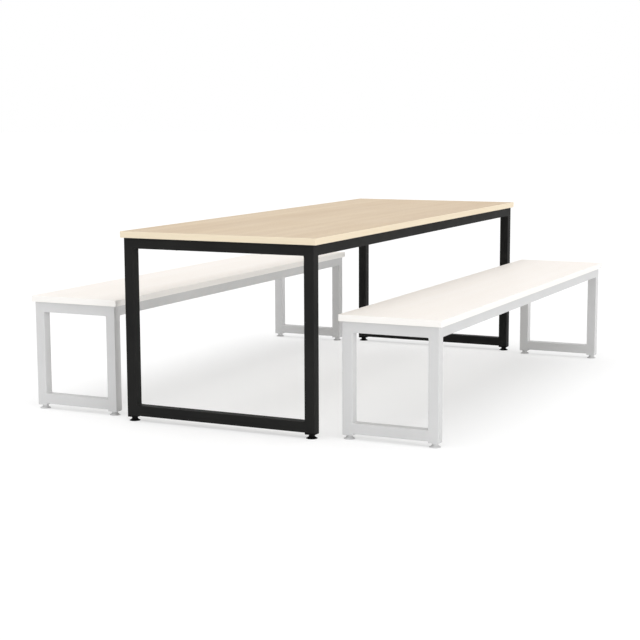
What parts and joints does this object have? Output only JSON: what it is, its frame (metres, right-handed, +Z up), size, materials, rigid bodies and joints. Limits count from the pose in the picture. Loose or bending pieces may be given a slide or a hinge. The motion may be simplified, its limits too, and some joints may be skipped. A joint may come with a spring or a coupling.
{
  "type": "canteen table with benches",
  "caption": "Rectangular canteen table with a laminate top on a welded square-tube loop frame, with matching free-standing benches that slide under it and screw levelling feet.",
  "frame": {"origin": "floor level under the middle of the table, which is the bottom centre of the set's box", "axes": "+X along the table's length to its right-hand end, +Y across the table to the back bench, +Z up"},
  "size_m": [2.23, 1.74, 0.73],
  "materials": {
    "table_laminate": "satin pale maple laminate",
    "table_edge_band": "satin cream edge band",
    "table_steel": "satin black powder coat",
    "table_plastic": "black moulded plastic",
    "bench_laminate": "satin off-white wood laminate",
    "bench_edge_band": "satin off-white edge band",
    "bench_steel": "satin pale grey powder coat",
    "bench_plastic": "pale grey moulded plastic"
  },
  "bodies": {
    "table": {"table_board": "table_laminate", "table_edge_band": "table_edge_band", "table_leg_front_left": "table_steel", "table_leg_front_right": "table_steel", "table_leg_back_right": "table_steel", "table_leg_back_left": "table_steel", "table_top_rail_left": "table_steel", "table_bottom_rail_left": "table_steel", "table_top_rail_right": "table_steel", "table_bottom_rail_right": "table_steel", "table_side_rail_front": "table_steel", "table_side_rail_back": "table_steel", "table_insert_front_left": "table_plastic", "table_insert_front_right": "table_plastic", "table_insert_back_right": "table_plastic", "table_insert_back_left": "table_plastic"},
    "table_foot_front_left": {"table_foot_front_left": "table_plastic"},
    "table_foot_front_right": {"table_foot_front_right": "table_plastic"},
    "table_foot_back_right": {"table_foot_back_right": "table_plastic"},
    "table_foot_back_left": {"table_foot_back_left": "table_plastic"},
    "front_bench": {"front_bench_board": "bench_laminate", "front_bench_edge_band": "bench_edge_band", "front_bench_leg_front_left": "bench_steel", "front_bench_leg_front_right": "bench_steel", "front_bench_leg_back_right": "bench_steel", "front_bench_leg_back_left": "bench_steel", "front_bench_top_rail_left": "bench_steel", "front_bench_bottom_rail_left": "bench_steel", "front_bench_top_rail_right": "bench_steel", "front_bench_bottom_rail_right": "bench_steel", "front_bench_side_rail_front": "bench_steel", "front_bench_side_rail_back": "bench_steel", "front_bench_insert_front_left": "bench_plastic", "front_bench_insert_front_right": "bench_plastic", "front_bench_insert_back_right": "bench_plastic", "front_bench_insert_back_left": "bench_plastic"},
    "front_bench_foot_front_left": {"front_bench_foot_front_left": "bench_plastic"},
    "front_bench_foot_front_right": {"front_bench_foot_front_right": "bench_plastic"},
    "front_bench_foot_back_right": {"front_bench_foot_back_right": "bench_plastic"},
    "front_bench_foot_back_left": {"front_bench_foot_back_left": "bench_plastic"},
    "back_bench": {"back_bench_board": "bench_laminate", "back_bench_edge_band": "bench_edge_band", "back_bench_leg_front_left": "bench_steel", "back_bench_leg_front_right": "bench_steel", "back_bench_leg_back_right": "bench_steel", "back_bench_leg_back_left": "bench_steel", "back_bench_top_rail_left": "bench_steel", "back_bench_bottom_rail_left": "bench_steel", "back_bench_top_rail_right": "bench_steel", "back_bench_bottom_rail_right": "bench_steel", "back_bench_side_rail_front": "bench_steel", "back_bench_side_rail_back": "bench_steel", "back_bench_insert_front_left": "bench_plastic", "back_bench_insert_front_right": "bench_plastic", "back_bench_insert_back_right": "bench_plastic", "back_bench_insert_back_left": "bench_plastic"},
    "back_bench_foot_front_left": {"back_bench_foot_front_left": "bench_plastic"},
    "back_bench_foot_front_right": {"back_bench_foot_front_right": "bench_plastic"},
    "back_bench_foot_back_right": {"back_bench_foot_back_right": "bench_plastic"},
    "back_bench_foot_back_left": {"back_bench_foot_back_left": "bench_plastic"}
  },
  "joints": [
    {"name": "table_foot_front_left_screw", "type": "slide", "parent": "table", "child": "table_foot_front_left", "axis": [0, 0, -1], "range_m": [0, 0.015]},
    {"name": "table_foot_front_right_screw", "type": "slide", "parent": "table", "child": "table_foot_front_right", "axis": [0, 0, -1], "range_m": [0, 0.015]},
    {"name": "table_foot_back_right_screw", "type": "slide", "parent": "table", "child": "table_foot_back_right", "axis": [0, 0, -1], "range_m": [0, 0.015]},
    {"name": "table_foot_back_left_screw", "type": "slide", "parent": "table", "child": "table_foot_back_left", "axis": [0, 0, -1], "range_m": [0, 0.015]},
    {"name": "front_bench_slide", "type": "slide", "parent": "table", "child": "front_bench", "axis": [0, 1, 0], "range_m": [-0.25, 0.465]},
    {"name": "front_bench_foot_front_left_screw", "type": "slide", "parent": "front_bench", "child": "front_bench_foot_front_left", "axis": [0, 0, -1], "range_m": [0, 0.015]},
    {"name": "front_bench_foot_front_right_screw", "type": "slide", "parent": "front_bench", "child": "front_bench_foot_front_right", "axis": [0, 0, -1], "range_m": [0, 0.015]},
    {"name": "front_bench_foot_back_right_screw", "type": "slide", "parent": "front_bench", "child": "front_bench_foot_back_right", "axis": [0, 0, -1], "range_m": [0, 0.015]},
    {"name": "front_bench_foot_back_left_screw", "type": "slide", "parent": "front_bench", "child": "front_bench_foot_back_left", "axis": [0, 0, -1], "range_m": [0, 0.015]},
    {"name": "back_bench_slide", "type": "slide", "parent": "table", "child": "back_bench", "axis": [0, -1, 0], "range_m": [-0.25, 0.465]},
    {"name": "back_bench_foot_front_left_screw", "type": "slide", "parent": "back_bench", "child": "back_bench_foot_front_left", "axis": [0, 0, -1], "range_m": [0, 0.015]},
    {"name": "back_bench_foot_front_right_screw", "type": "slide", "parent": "back_bench", "child": "back_bench_foot_front_right", "axis": [0, 0, -1], "range_m": [0, 0.015]},
    {"name": "back_bench_foot_back_right_screw", "type": "slide", "parent": "back_bench", "child": "back_bench_foot_back_right", "axis": [0, 0, -1], "range_m": [0, 0.015]},
    {"name": "back_bench_foot_back_left_screw", "type": "slide", "parent": "back_bench", "child": "back_bench_foot_back_left", "axis": [0, 0, -1], "range_m": [0, 0.015]}
  ]
}
